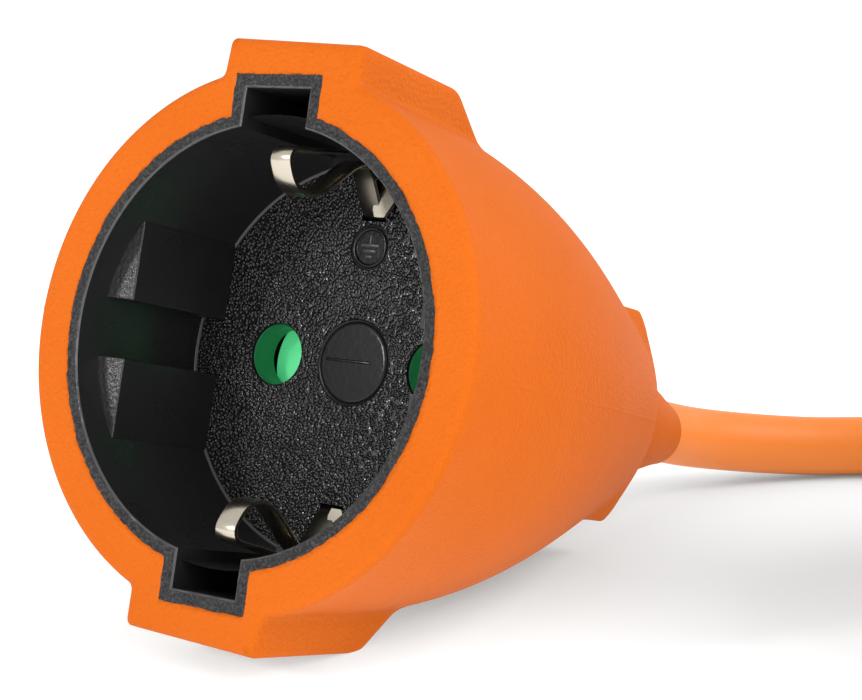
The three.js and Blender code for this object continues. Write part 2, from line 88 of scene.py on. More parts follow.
# ---------------------------------------------------------------- camera
camera_data = bpy.data.cameras.new("camera")
camera_data.lens = 88.9
camera_data.sensor_width = 36
camera_data.clip_start = 0.01
camera = bpy.data.objects.new("camera", camera_data)
bpy.context.scene.collection.objects.link(camera)
right = Vector((0.8237, 0.5671, 0.0)).normalized()
forward = Vector((-0.5602, 0.8137, -0.1556)).normalized()
up = right.cross(forward)
camera.matrix_world = Matrix.Translation((0.12183, -0.18407, 0.05901)) @ Matrix(
    (
        (right.x, up.x, -forward.x, 0),
        (right.y, up.y, -forward.y, 0),
        (right.z, up.z, -forward.z, 0),
        (0, 0, 0, 1),
    )
)
bpy.context.scene.camera = camera


# ---------------------------------------------------------------- mesh helpers
def grid_faces(rows, cols, wrap_rows=False):
    """Quads of a grid of vertices numbered row by row, each row closed into a ring."""
    faces = []
    for i in range(rows if wrap_rows else rows - 1):
        for j in range(cols):
            a = i * cols + j
            b = i * cols + (j + 1) % cols
            c = ((i + 1) % rows) * cols + (j + 1) % cols
            d = ((i + 1) % rows) * cols + j
            faces.append((a, b, c, d))
    return faces


def grid(points, wrap_rows=False):
    """Vertices and faces of an array of points, rows by cols by 3."""
    rows, cols = points.shape[:2]
    return points.reshape(-1, 3), grid_faces(rows, cols, wrap_rows)


def lathe(profile, segments, centre=(0, 0)):
    """A surface of revolution about y through (x, z) = centre, from [radius, y] points."""
    angles = np.linspace(0, 2 * np.pi, segments, endpoint=False)
    rings = [
        np.stack(
            [
                centre[0] + radius * np.sin(angles),
                np.full(segments, float(y)),
                centre[1] + radius * np.cos(angles),
            ],
            axis=1,
        )
        for radius, y in profile
    ]
    return grid(np.array(rings))


def prism(outline, low, high):
    """A closed prism along y of an outline of (x, z) points."""
    count = len(outline)
    verts = [(x, low, z) for x, z in outline] + [(x, high, z) for x, z in outline]
    faces = grid_faces(2, count)
    faces += [tuple(range(count))[::-1], tuple(range(count, 2 * count))]
    return np.array(verts, dtype=float), faces


def circle(radius, count, centre=(0, 0)):
    """Points (x, z) round a circle."""
    return [
        (
            centre[0] + radius * math.cos(2 * math.pi * i / count),
            centre[1] + radius * math.sin(2 * math.pi * i / count),
        )
        for i in range(count)
    ]


def fillet_lines(points, radius, steps):
    """An open line of points with each inner corner rounded to about a radius."""
    out = [np.array(points[0], float)]
    for before, corner, after in zip(points, points[1:], points[2:]):
        corner = np.array(corner, float)
        arms = [np.array(p, float) - corner for p in (before, after)]
        lengths = [np.linalg.norm(a) for a in arms]
        reach = [min(radius, 0.48 * n) / n for n in lengths]
        first, last = corner + arms[0] * reach[0], corner + arms[1] * reach[1]
        for t in np.linspace(0, 1, steps):
            out.append((1 - t) ** 2 * first + 2 * t * (1 - t) * corner + t**2 * last)
    out.append(np.array(points[-1], float))
    return np.array(out)


def object_of(name, parts, sharp_angle=None, bevel=None):
    """One mesh object of (verts, faces, material) parts, placed from the coupler's frame."""
    verts, faces, slots, materials = [], [], [], []
    for part_verts, part_faces, material in parts:
        if material not in materials:
            materials.append(material)
        start = sum(len(v) for v in verts)
        verts.append(np.asarray(part_verts, dtype=float))
        faces += [tuple(start + i for i in face) for face in part_faces]
        slots += [materials.index(material)] * len(part_faces)
    mesh = bpy.data.meshes.new(name)
    mesh.from_pydata(np.concatenate(verts).tolist(), [], faces)
    mesh.transform(COUPLER)
    for material in materials:
        mesh.materials.append(material)
    mesh.polygons.foreach_set("material_index", slots)
    mesh.polygons.foreach_set("use_smooth", [True] * len(mesh.polygons))
    if sharp_angle is not None:
        mesh.set_sharp_from_angle(angle=math.radians(sharp_angle))
    mesh.update()
    piece = bpy.data.objects.new(name, mesh)
    bpy.context.scene.collection.objects.link(piece)
    if bevel is not None:
        add_bevel(piece, bevel)
    return piece


def add_bevel(piece, width):
    """Rounds a piece's hard edges by a width in millimetres."""
    modifier = piece.modifiers.new("round edges", "BEVEL")
    modifier.width = width * MM
    modifier.segments = 3
    modifier.limit_method = "ANGLE"
    modifier.angle_limit = math.radians(32)
    modifier.use_clamp_overlap = True
    modifier.harden_normals = True


# ---------------------------------------------------------------- materials
def new_material(name, color, roughness, metallic=0.0, specular=0.5):
    """A new material with the values of its main shader."""
    material = bpy.data.materials.new(name)
    material.use_nodes = True
    shader = material.node_tree.nodes["Principled BSDF"]
    shader.inputs["Base Color"].default_value = (*color, 1)
    shader.inputs["Roughness"].default_value = roughness
    shader.inputs["Metallic"].default_value = metallic
    shader.inputs["Specular IOR Level"].default_value = specular
    return material


def texture(material, kind, scale, **settings):
    """A procedural texture in object coordinates, with a scale in cells a metre."""
    nodes, links = material.node_tree.nodes, material.node_tree.links
    node = nodes.new(kind)
    node.inputs["Scale"].default_value = scale
    for key, value in settings.items():
        node.inputs[key].default_value = value
    coordinates = nodes.get("coordinates") or nodes.new("ShaderNodeTexCoord")
    coordinates.name = "coordinates"
    links.new(coordinates.outputs["Object"], node.inputs["Vector"])
    return node


def ramp(material, value, low, high, out_low, out_high, kind="LINEAR"):
    """A value mapped from one range to another and clamped."""
    node = material.node_tree.nodes.new("ShaderNodeMapRange")
    node.interpolation_type = kind
    for key, number in zip(
        ("From Min", "From Max", "To Min", "To Max"), (low, high, out_low, out_high)
    ):
        node.inputs[key].default_value = number
    material.node_tree.links.new(value, node.inputs["Value"])
    return node.outputs["Result"]


def add_bump(material, height, depth):
    """Relief from a height socket, with a depth in millimetres, over any relief before it."""
    nodes, links = material.node_tree.nodes, material.node_tree.links
    shader = nodes["Principled BSDF"]
    bump = nodes.new("ShaderNodeBump")
    bump.inputs["Distance"].default_value = depth * MM
    bump.inputs["Strength"].default_value = 1.0
    links.new(height, bump.inputs["Height"])
    if shader.inputs["Normal"].links:
        links.new(shader.inputs["Normal"].links[0].from_socket, bump.inputs["Normal"])
    links.new(bump.outputs["Normal"], shader.inputs["Normal"])


def vary_color(material, factor, low, high):
    """The base colour blended between two colours by a factor socket."""
    nodes, links = material.node_tree.nodes, material.node_tree.links
    mix = nodes.new("ShaderNodeMix")
    mix.data_type = "RGBA"
    mix.inputs["A"].default_value = (*low, 1)
    mix.inputs["B"].default_value = (*high, 1)
    links.new(factor, mix.inputs["Factor"])
    links.new(mix.outputs["Result"], nodes["Principled BSDF"].inputs["Base Color"])


def vary_roughness(material, value):
    """The roughness taken from a value socket."""
    material.node_tree.links.new(
        value, material.node_tree.nodes["Principled BSDF"].inputs["Roughness"]
    )


def calm_bounce(material):
    """Lets a strong colour throw only a neutral light on what stands round it."""
    nodes, links = material.node_tree.nodes, material.node_tree.links
    color = nodes["Principled BSDF"].inputs["Base Color"]
    mix = nodes.new("ShaderNodeMix")
    mix.data_type = "RGBA"
    mix.inputs["B"].default_value = (0.4, 0.36, 0.34, 1)
    if color.links:
        links.new(color.links[0].from_socket, mix.inputs["A"])
    else:
        mix.inputs["A"].default_value = color.default_value[:]
    path = nodes.new("ShaderNodeLightPath")
    links.new(path.outputs["Is Diffuse Ray"], mix.inputs["Factor"])
    links.new(mix.outputs["Result"], color)


def orange_body():
    """Soft PVC with a fine moulded grain."""
    material = new_material("body_orange", (0.68, 0.132, 0.004), 0.6, specular=0.12)
    grain = texture(material, "ShaderNodeTexNoise", 2600, Detail=2)
    add_bump(material, grain.outputs["Fac"], 0.22)
    cloud = texture(material, "ShaderNodeTexNoise", 60, Detail=3)
    factor = ramp(material, cloud.outputs["Fac"], 0.35, 0.65, 0, 1)
    vary_color(material, factor, (0.665, 0.127, 0.003), (0.695, 0.137, 0.005))
    calm_bounce(material)
    return material


def orange_cord():
    """The smooth sheath of the cord."""
    material = new_material("cord_orange", (0.98, 0.26, 0.04), 0.42, specular=0.25)
    ripple = texture(material, "ShaderNodeTexNoise", 420, Detail=2)
    add_bump(material, ripple.outputs["Fac"], 0.04)
    calm_bounce(material)
    return material


def black_wall():
    """Smooth glossy black plastic with faint handling marks."""
    material = new_material("insert_black", (0.016, 0.0155, 0.016), 0.3)
    wave = texture(material, "ShaderNodeTexNoise", 700, Detail=3)
    add_bump(material, wave.outputs["Fac"], 0.02)
    patches = texture(material, "ShaderNodeTexNoise", 180, Detail=4)
    vary_roughness(material, ramp(material, patches.outputs["Fac"], 0.3, 0.7, 0.24, 0.42))
    return material


def black_floor():
    """The well's floor, moulded with coarse glossy pebbles, their tops painted lighter in patches as
    painted glints.
    """
    material = new_material("insert_black_pebbled", (0.012, 0.011, 0.012), 0.17, specular=0.75)
    pebbles = texture(material, "ShaderNodeTexVoronoi", 3100)
    height = ramp(material, pebbles.outputs["Distance"], 0.0, 0.8, 1, 0, "SMOOTHSTEP")
    add_bump(material, height, 0.15)
    swell = texture(material, "ShaderNodeTexNoise", 900, Detail=2)
    add_bump(material, swell.outputs["Fac"], 0.12)
    # painted glints: the pebbles' tops are painted lighter, in patches, as if they caught the light
    patches = texture(material, "ShaderNodeTexNoise", 260, Detail=2)
    painted_glints = material.node_tree.nodes.new("ShaderNodeMath")
    painted_glints.operation = "MULTIPLY"
    tops = ramp(material, pebbles.outputs["Distance"], 0.08, 0.34, 1, 0)
    share = ramp(material, patches.outputs["Fac"], 0.4, 0.6, 0.15, 1)
    material.node_tree.links.new(tops, painted_glints.inputs[0])
    material.node_tree.links.new(share, painted_glints.inputs[1])
    vary_color(material, painted_glints.outputs["Value"], (0.009, 0.0085, 0.009), (0.24, 0.23, 0.24))
    return material


def black_smooth():
    """The smooth fields on the floor round the mark and in the middle."""
    material = new_material("insert_black_smooth", (0.009, 0.009, 0.01), 0.2, specular=0.3)
    wave = texture(material, "ShaderNodeTexNoise", 1500, Detail=4)
    add_bump(material, wave.outputs["Fac"], 0.03)
    return material


def black_rim():
    """The cut, rough front edge of the insert."""
    material = new_material("insert_black_rim", (0.03, 0.03, 0.033), 0.5)
    crumbs = texture(material, "ShaderNodeTexNoise", 3600, Detail=3, Roughness=0.7)
    add_bump(material, crumbs.outputs["Fac"], 0.35)
    factor = ramp(material, crumbs.outputs["Fac"], 0.45, 0.72, 0, 1)
    vary_color(material, factor, (0.006, 0.006, 0.007), (0.085, 0.08, 0.085))
    return material


def nickel():
    """Nickel-plated strip with fine rolling marks."""
    material = new_material("clip_nickel", (0.6, 0.54, 0.44), 0.24, metallic=1.0)
    marks = texture(material, "ShaderNodeTexNoise", 1800, Detail=3)
    add_bump(material, marks.outputs["Fac"], 0.001)
    return material


def simple(name, color, roughness, metallic=0.0, grain=900, depth=0.02):
    """A plain moulded, drawn or plated surface with a little unevenness."""
    material = new_material(name, color, roughness, metallic)
    wave = texture(material, "ShaderNodeTexNoise", grain, Detail=2)
    add_bump(material, wave.outputs["Fac"], depth)
    return material


def woven():
    """The tie's hook-and-loop cloth."""
    material = new_material("tie_strap", (0.02, 0.02, 0.022), 0.9)
    loops = texture(material, "ShaderNodeTexVoronoi", 1500)
    add_bump(material, loops.outputs["Distance"], 0.3)
    factor = ramp(material, loops.outputs["Distance"], 0.1, 0.7, 1, 0)
    vary_color(material, factor, (0.012, 0.012, 0.013), (0.045, 0.045, 0.05))
    return material


BODY_ORANGE = orange_body()
PALE_ORANGE = simple("body_orange_seam", (0.9, 0.42, 0.24), 0.5)
CORD_ORANGE = orange_cord()
BLACK_WALL = black_wall()
BLACK_FLOOR = black_floor()
BLACK_SMOOTH = black_smooth()
BLACK_RIM = black_rim()
# a lighter black for edges and raised marks: painted highlight along them
BLACK_EDGE_PAINTED_HIGHLIGHT = simple("insert_black_edge_painted_highlight", (0.07, 0.066, 0.066), 0.3)
# a lighter black for the guides' front faces: painted highlight
BLACK_FRONT_PAINTED_HIGHLIGHT = simple("insert_black_front_painted_highlight", (0.03, 0.028, 0.029), 0.3, grain=2600, depth=0.12)
GREEN = simple("shutter_green", (0.011, 0.22, 0.075), 0.38)
# a darker copy of the green: painted shade
GREEN_PAINTED_SHADE = simple("shutter_green_painted_shade", (0.002, 0.04, 0.015), 0.38)
GREEN_PAINTED_LIGHT = simple("shutter_green_painted_light", (0.16, 0.95, 0.4), 0.38)
# painted light: a lighter copy of the green with a weak glow, which stands in for the light that
# comes through the shutter's thin faces
painted_glow_shader = GREEN_PAINTED_LIGHT.node_tree.nodes["Principled BSDF"]
painted_glow_shader.inputs["Emission Color"].default_value = (0.08, 0.8, 0.3, 1)
painted_glow_shader.inputs["Emission Strength"].default_value = 0.24
NICKEL = nickel()
# a darker copy of the nickel: painted shade on the clips' rear legs
NICKEL_PAINTED_SHADE = simple("clip_nickel_painted_shade", (0.2, 0.18, 0.145), 0.28, 1.0, depth=0.002)
BRASS = simple("contact_brass", (0.72, 0.5, 0.18), 0.25, 1.0)
STEEL = simple("spring_steel", (0.55, 0.56, 0.58), 0.22, 1.0)
GREY = simple("carrier_grey", (0.03, 0.03, 0.034), 0.5)
BROWN = simple("core_brown", (0.1, 0.035, 0.016), 0.4)
BLUE = simple("core_blue", (0.02, 0.11, 0.42), 0.4)
EARTH = simple("core_green_yellow", (0.3, 0.42, 0.03), 0.4)
PLUG_BLACK = simple("plug_black", (0.013, 0.013, 0.014), 0.36)
STRAP = woven()


# ---------------------------------------------------------------- cord
def spline_through(points, step):
    """Points about a step apart on a centripetal Catmull-Rom curve through the given ones."""
    points = [Vector(p) for p in points]
    points = [2 * points[0] - points[1], *points, 2 * points[-1] - points[-2]]
    out = []
    for p0, p1, p2, p3 in zip(points, points[1:], points[2:], points[3:]):
        t1 = (p1 - p0).length ** 0.5
        t2 = t1 + (p2 - p1).length ** 0.5
        t3 = t2 + (p3 - p2).length ** 0.5
        count = max(2, round((p2 - p1).length / step))
        for i in range(count):
            t = t1 + (t2 - t1) * i / count
            a1 = p0 * (t1 - t) / t1 + p1 * t / t1
            a2 = p1 * (t2 - t) / (t2 - t1) + p2 * (t - t1) / (t2 - t1)
            a3 = p2 * (t3 - t) / (t3 - t2) + p3 * (t - t2) / (t3 - t2)
            b1 = a1 * (t2 - t) / t2 + a2 * t / t2
            b2 = a2 * (t3 - t) / (t3 - t1) + a3 * (t - t1) / (t3 - t1)
            out.append(b1 * (t2 - t) / (t2 - t1) + b2 * (t - t1) / (t2 - t1))
    return out


def smooth_step(x):
    """From 0 to 1 along a smooth curve, and level outside that range."""
    x = min(max(x, 0.0), 1.0)
    return x * x * (3 - 2 * x)


# The cord's route in metres before the floor shift in y: the lead, the coil and the tail.
LEAD_ROUTE = [
    (0.0, 0.0806, 0.0085),
    (0.0001, 0.085, 0.00735),
    (0.001, 0.0895, 0.0063),
    (0.003, 0.094, 0.0054),
    (0.0058, 0.0987, 0.0046),
    (0.0094, 0.1034, 0.004),
    (0.0138, 0.1078, 0.00378),
    (0.0195, 0.1117, 0.00375),
    (0.0265, 0.1145, 0.00375),
    (0.035, 0.1158, 0.00375),
    (0.05, 0.1158, 0.00375),
    (0.075, 0.1158, 0.00375),
    (0.1, 0.1158, 0.00375),
]
TAIL_ROUTE = [
    (0.1, 0.1143, 0.0352),
    (0.108, 0.1132, 0.0352),
    (0.1155, 0.1101, 0.0353),
    (0.1219, 0.1052, 0.0354),
    (0.1268, 0.0988, 0.0356),
    (0.1299, 0.0913, 0.0359),
    (0.131, 0.0833, 0.0368),
    (0.131, 0.0783, 0.0381),
]
COIL_CENTRE = (0.1, 0.0643)
COIL_OUTER_TURN = 0.0515
TURN_PITCH = 0.0077
TURNS_PER_LAYER = 2.75
LAYERS = 4
POINTS_PER_TURN = 90
LAYER_RISE = 0.25  # turns over which the cord climbs to the next layer
TAIL_RISE = 0.32  # turns over which it climbs off the coil to the tail
CORD_TUCK = 0.006  # how far each end runs on inside its collar, in metres
ROUTE_STEP = 0.001
PLUG_TILT = math.radians(15)


def coil_turns():
    """The coil: each layer winds in or out in a spiral, then climbs to the next."""
    turns = TURNS_PER_LAYER * LAYERS
    tail_start = TAIL_ROUTE[0]
    out = []
    for i in range(1, round(turns * POINTS_PER_TURN)):
        t = i / POINTS_PER_TURN
        in_layer = t % (2 * TURNS_PER_LAYER)
        inward = min(in_layer, 2 * TURNS_PER_LAYER - in_layer)
        end = smooth_step((t - turns + TAIL_RISE) / TAIL_RISE)
        radius = COIL_OUTER_TURN - inward * TURN_PITCH
        radius -= end * (COIL_CENTRE[1] + COIL_OUTER_TURN - tail_start[1])
        z = CORD_RADIUS * MM
        for layer in range(1, LAYERS):
            z += TURN_PITCH * smooth_step((t - layer * TURNS_PER_LAYER) / LAYER_RISE + 0.5)
        z += end * (tail_start[2] - z)
        angle = math.pi / 2 - 2 * math.pi * t
        out.append(
            Vector(
                (
                    COIL_CENTRE[0] + radius * math.cos(angle),
                    COIL_CENTRE[1] + radius * math.sin(angle),
                    z,
                )
            )
        )
    return out


def cord_run():
    """The whole cord as one curve from inside the collar to inside the plug's relief."""
    first, second = Vector(LEAD_ROUTE[0]), Vector(LEAD_ROUTE[1])
    start = first + (first - second).normalized() * CORD_TUCK
    last = Vector(TAIL_ROUTE[-1])
    end = last + Vector((0, -math.cos(PLUG_TILT), math.sin(PLUG_TILT))) * CORD_TUCK
    route = spline_through([start, *LEAD_ROUTE], ROUTE_STEP)
    route += coil_turns()
    route += spline_through([*TAIL_ROUTE, end], ROUTE_STEP) + [end]
    curve = bpy.data.curves.new("cord_run", "CURVE")
    curve.dimensions = "3D"
    curve.bevel_depth = CORD_RADIUS * MM
    curve.bevel_resolution = 6
    curve.use_fill_caps = True
    spline = curve.splines.new("POLY")
    spline.points.add(len(route) - 1)
    for point, place in zip(spline.points, route):
        point.co = (place.x, place.y + FLOOR_SHIFT * MM, place.z, 1)
    spline.use_smooth = True
    curve.materials.append(CORD_ORANGE)
    cord = bpy.data.objects.new("cord_run", curve)
    bpy.context.scene.collection.objects.link(cord)
    return cord


cord = cord_run()
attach(cord, "cord_set")
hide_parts("cord_lead", "cord_coil", "cord_tail")


# ---------------------------------------------------------------- coupler's sleeve
def smooth_max(a, b, width):
    """The larger of two distances, rounded where they meet."""
    share = np.clip(0.5 + 0.5 * (a - b) / width, 0, 1)
    return b * (1 - share) + a * share + width * share * (1 - share)


def rounded_and(a, b, radius):
    """The distance to what is inside both, its edge rounded to a radius."""
    outside = np.hypot(np.maximum(a + radius, 0), np.maximum(b + radius, 0))
    return np.minimum(np.maximum(a, b) + radius, 0) + outside - radius


BODY_DEPTHS = [0, 15, 20, 25, 30, 35, 40, 45, 50, 55, 59]
BODY_RADII = [25.3, 24.5, 23.9, 23.1, 22.0, 20.6, 18.95, 17.1, 15.3, 13.5, 11.8]
BODY_CURVE = np.polyfit(BODY_DEPTHS, BODY_RADII, 5)
SLEEVE_ROLL = 2.3  # degrees the sleeve sits turned against the insert
# rings of the hollow behind the opening, from front to rear: radius and depth
HOLLOW = [
    (21.2, 16.2), (21.2, 20.6), (19.9, 23.6), (15.9, 40.3), (15.9, 43.5), (6.6, 50.0), (6.6, 58.7),
]
BORE_RADIUS = 20.9
BORE_NOTCH_HALF_WIDTH = 4.95
BORE_NOTCH_REACH = 24.35
LUG_HALF_WIDTH = 7.75
LUG_FLARE = 0.04  # how far each flank moves out for each millimetre below LUG_TOP
LUG_TOP = 27.0
LUG_REACH = 27.65
UPPER_LUG_SLOPE = 0.033
LOWER_LUG_SLOPE = 0.042
SHOULDER_DEPTH = 16.6  # a point on the slope behind each lug, and the slope's direction
SHOULDER_HEIGHT = 26.9
SHOULDER_NORMAL = (0.663, 0.749)
BLOCK_HALF_HEIGHT = 11.9
BLOCK_HALF_WIDTH = 11.5
BLOCK_BULGE = 0.0262
SEAM_LIFT = 0.05
SEAM_WIDTH = 0.13


def sleeve_distance(x, y, z):
    """How far a point is outside the sleeve's outer surface."""
    turn = math.radians(SLEEVE_ROLL)
    side = np.abs(x * math.cos(turn) - z * math.sin(turn))
    rise = x * math.sin(turn) + z * math.cos(turn)
    height = np.abs(rise)
    reach = LUG_REACH - np.where(rise > 0, UPPER_LUG_SLOPE, LOWER_LUG_SLOPE) * y
    seam = SEAM_LIFT * np.exp(-((height / SEAM_WIDTH) ** 2))
    body = (np.hypot(x, z) - np.polyval(BODY_CURVE, y) - seam) * 0.95
    flank = side - LUG_HALF_WIDTH - LUG_FLARE * (LUG_TOP - height)
    shoulder = (y - SHOULDER_DEPTH) * SHOULDER_NORMAL[0]
    shoulder = shoulder + (height - SHOULDER_HEIGHT) * SHOULDER_NORMAL[1]
    lug = smooth_max(flank, height - reach, 0.6)
    lug = smooth_max(lug, shoulder, 0.8)
    cheek = side + BLOCK_BULGE * height**2 - BLOCK_HALF_WIDTH
    block = smooth_max(height - BLOCK_HALF_HEIGHT, cheek, 0.55)
    solid = -smooth_max(-body, -lug, 0.6)
    solid = -smooth_max(-solid, -block, 0.8)
    solid = rounded_and(solid, -y, 1.0)
    return rounded_and(solid, y - BODY_LENGTH, 0.9)


def opening_radius(angles):
    """The sleeve's opening with its two notches, as a radius at each angle from +z."""
    box = np.minimum(
        BORE_NOTCH_HALF_WIDTH / np.maximum(np.abs(np.sin(angles)), 1e-9),
        BORE_NOTCH_REACH / np.maximum(np.abs(np.cos(angles)), 1e-9),
    )
    return np.maximum(BORE_RADIUS, box)


def sleeve_angles():
    """The angles of the sleeve's columns: close together at its lugs, block and seams."""
    fine = [np.arange(0, 360, 1.5)]
    for middle in (0, 180):
        for sign in (-1, 1):
            fine.append(middle + SLEEVE_ROLL + sign * np.arange(11, 22, 0.27))
            fine.append(middle + SLEEVE_ROLL + sign * np.arange(28, 42, 0.5))
            fine.append(middle + sign * np.arange(10.6, 14.6, 0.2))
        seam = np.array([-0.7, -0.45, -0.25, -0.1, 0.1, 0.25, 0.45, 0.7])
        fine.append(middle + 90 + SLEEVE_ROLL + seam)
    degrees = np.concatenate(fine) % 360
    corners = np.degrees(
        [
            math.atan2(BORE_NOTCH_HALF_WIDTH, BORE_NOTCH_REACH),
            math.asin(BORE_NOTCH_HALF_WIDTH / BORE_RADIUS),
        ]
    )
    corners = np.concatenate([corners, 180 - corners, 180 + corners, 360 - corners])
    clear = np.abs(degrees[:, None] - corners).min(axis=1) > 0.14
    degrees = np.unique(np.round(np.concatenate([degrees[clear], corners]), 3))
    return np.radians(degrees)


def sleeve():
    """The sleeve: rays from inside it find its outer surface, then rings line its hollow."""
    angles = sleeve_angles()
    opening = opening_radius(angles)
    front_fan = [-90, -82, -72, -64, -58, *range(-54, -22, 2), -20, -15, -10, -4]
    rear_fan = [4, 10, 16, 22, 28, 33, 38, 43, 48, 54, 61, 69, 79, 90]
    side_depths = np.concatenate([np.arange(4.2, 13, 0.9), np.arange(13, 24, 0.35)])
    side_depths = np.concatenate([side_depths, np.arange(24, 55, 0.9)])
    rays = [(opening, 4.0, a) for a in front_fan]
    rays += [(np.full_like(angles, 6.0), y, 0) for y in side_depths]
    rays += [(np.full_like(angles, 8.0), 55.0, a) for a in rear_fan]

    start = np.array([radius for radius, _, _ in rays])
    depth = np.array([[y] for _, y, _ in rays])
    turn = np.radians([[a] for _, _, a in rays])
    near, far = np.zeros_like(start), np.full_like(start, 30.0)
    halvings = 34
    for _ in range(halvings):
        middle = (near + far) / 2
        radius = start + middle * np.cos(turn)
        y = depth + middle * np.sin(turn)
        inside = sleeve_distance(radius * np.sin(angles), y, radius * np.cos(angles)) < 0
        near, far = np.where(inside, middle, near), np.where(inside, far, middle)
    radius = start + near * np.cos(turn)
    y = depth + near * np.sin(turn)

    hollow = [(opening, 0.35), (opening, 16.0)]
    hollow += [(np.full_like(angles, ring), ring_depth) for ring, ring_depth in HOLLOW]
    hollow.reverse()
    radius = np.concatenate([radius, np.array([r for r, _ in hollow])])
    y = np.concatenate([y, np.array([np.full_like(angles, d) for _, d in hollow])])
    points = np.stack([radius * np.sin(angles), y, radius * np.cos(angles)], axis=2)
    verts, faces = grid(points, wrap_rows=True)
    return object_of("sleeve", [(verts, faces, BODY_ORANGE)])


sleeve_piece = sleeve()
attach(sleeve_piece, "cord_set")
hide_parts("outer_sleeve")


# ---------------------------------------------------------------- black insert
def opening_outline(grow, step=0.3):
    """The opening's outline grown by a share of the rim: points (x, z) all round."""
    half_width = NOTCH_HALF_WIDTH + NOTCH_WALL * grow
    reach = NOTCH_REACH + NOTCH_WALL * grow
    radius = WELL_RADIUS + RIM_WIDTH * grow
    meet = math.asin(half_width / radius)
    rise = round((NOTCH_REACH - WELL_RADIUS) / step)
    across = round(2 * NOTCH_HALF_WIDTH / step)
    arc = round(math.pi * WELL_RADIUS / step)
    half = []
    foot = radius * math.cos(meet)
    for i in range(rise):
        half.append((-half_width, foot + (reach - foot) * i / rise))
    for i in range(across):
        half.append((-half_width + 2 * half_width * i / across, reach))
    for i in range(rise):
        half.append((half_width, reach + (foot - reach) * i / rise))
    for i in range(arc):
        angle = meet + (math.pi - 2 * meet) * i / arc
        half.append((radius * math.sin(angle), radius * math.cos(angle)))
    half = np.array(half)
    return np.concatenate([half, -half])


def rough(count, size):
    """Random offsets that are smooth from one point to the next."""
    noise = RNG.normal(0, 1, count)
    noise = (noise + np.roll(noise, 1) + np.roll(noise, -1)) / 1.73
    return size * noise


def rim_and_walls():
    """The cut front of the insert from outside to inside, then the walls of the well."""
    rows = []
    outer_count = len(opening_outline(1.0))
    ragged = np.clip(rough(outer_count, 0.03), -0.06, 0.09)
    # each row's share of the rim's width, its depth and its roughness
    for grow, y, size in [
        (1.28, 0.7, 0.0),
        (1.25, 0.06, 0.02),
        (1.14, -0.04, 0.035),
        (0.95, -0.03, 0.05),
        (0.75, 0.0, 0.05),
        (0.55, 0.0, 0.05),
        (0.35, 0.0, 0.05),
        (0.16, 0.02, 0.03),
        (0.06, 0.08, 0.01),
        (0.0, 0.2, 0.0),
    ]:
        outline = opening_outline(grow)
        if grow > 1:
            outward = outline / np.linalg.norm(outline, axis=1)[:, None]
            outline = outline + outward * ragged[:, None]
        depth = y + rough(outer_count, size)
        rows.append(np.stack([outline[:, 0], depth, outline[:, 1]], axis=1))
    edge_row = 7  # the cut rim ends here and the smooth inner edge starts
    rim = grid(np.array(rows[: edge_row + 1]))
    # the smooth inner edge takes the lighter black: painted highlight along the edge
    edge = grid(np.array(rows[edge_row:]))
    inner = opening_outline(0.0)
    walls = []
    for y in (0.2, 0.6, 2, 4, 6, 8, 10, 12, 14, 16, WELL_DEPTH + 0.3):
        walls.append(np.stack([inner[:, 0], np.full(len(inner), y), inner[:, 1]], axis=1))
    return [(*rim, BLACK_RIM), (*edge, BLACK_EDGE_PAINTED_HIGHLIGHT), (*grid(np.array(walls)), BLACK_WALL)]


def holed_plate(y, outer, holes):
    """A flat plate at a depth with holes, from an outline and the holes' outlines."""
    verts, edges = [], []
    for outline in [outer, *holes]:
        first = len(verts)
        verts += [Vector(p) for p in outline]
        count = len(outline)
        edges += [(first + i, first + (i + 1) % count) for i in range(count)]
    coords, _, faces, *_ = delaunay_2d_cdt(verts, edges, [], 1, 1e-6)

    def in_hole(face):
        centre = sum((coords[i] for i in face), Vector((0, 0))) / len(face)
        return any(inside_outline(centre, hole) for hole in holes)

    faces = [tuple(face) for face in faces if not in_hole(face)]
    return np.array([(c.x, y, c.y) for c in coords]), faces


def inside_outline(point, outline):
    """Whether a point is inside an outline, by the edges a ray from it crosses."""
    inside = False
    for (x0, z0), (x1, z1) in zip(outline, outline[1:] + outline[:1]):
        if (z0 > point.y) != (z1 > point.y):
            if point.x < x0 + (point.y - z0) * (x1 - x0) / (z1 - z0):
                inside = not inside
    return inside


def tube_wall(outline, low, high, flare=0.0):
    """The wall of a hole through a plate, its front edge flared out a little."""
    outline = np.array(outline)
    middle = outline.mean(axis=0)
    rows = []
    for y, grow in ((low, flare), (low + flare, 0.0), (high, 0.0)):
        out = middle + (outline - middle) * (1 + grow / np.linalg.norm(outline[0] - middle))
        rows.append(np.stack([out[:, 0], np.full(len(out), y), out[:, 1]], axis=1))
    return grid(np.array(rows))


def rounded_bar(x, z, width, height, lift, y):
    """A low bar on the floor with sloped, rounded sides."""
    rows = []
    for grow, depth in ((0.09, y + 0.02), (0.05, y - lift * 0.7), (-0.02, y - lift)):
        half = (width / 2 + grow, height / 2 + grow)
        corners = [(-half[0], -half[1]), (half[0], -half[1]), half, (-half[0], half[1])]
        outline = fillet_lines(
            [(0, -half[1]), *corners[1:], corners[0], (0, -half[1])], 0.12, 4
        )[:-1]
        rows.append(
            np.stack([x + outline[:, 0], np.full(len(outline), depth), z + outline[:, 1]], axis=1)
        )
    verts, faces = grid(np.array(rows))
    top = len(verts) - len(rows[0])
    faces.append(tuple(range(top, len(verts))))
    return verts, faces


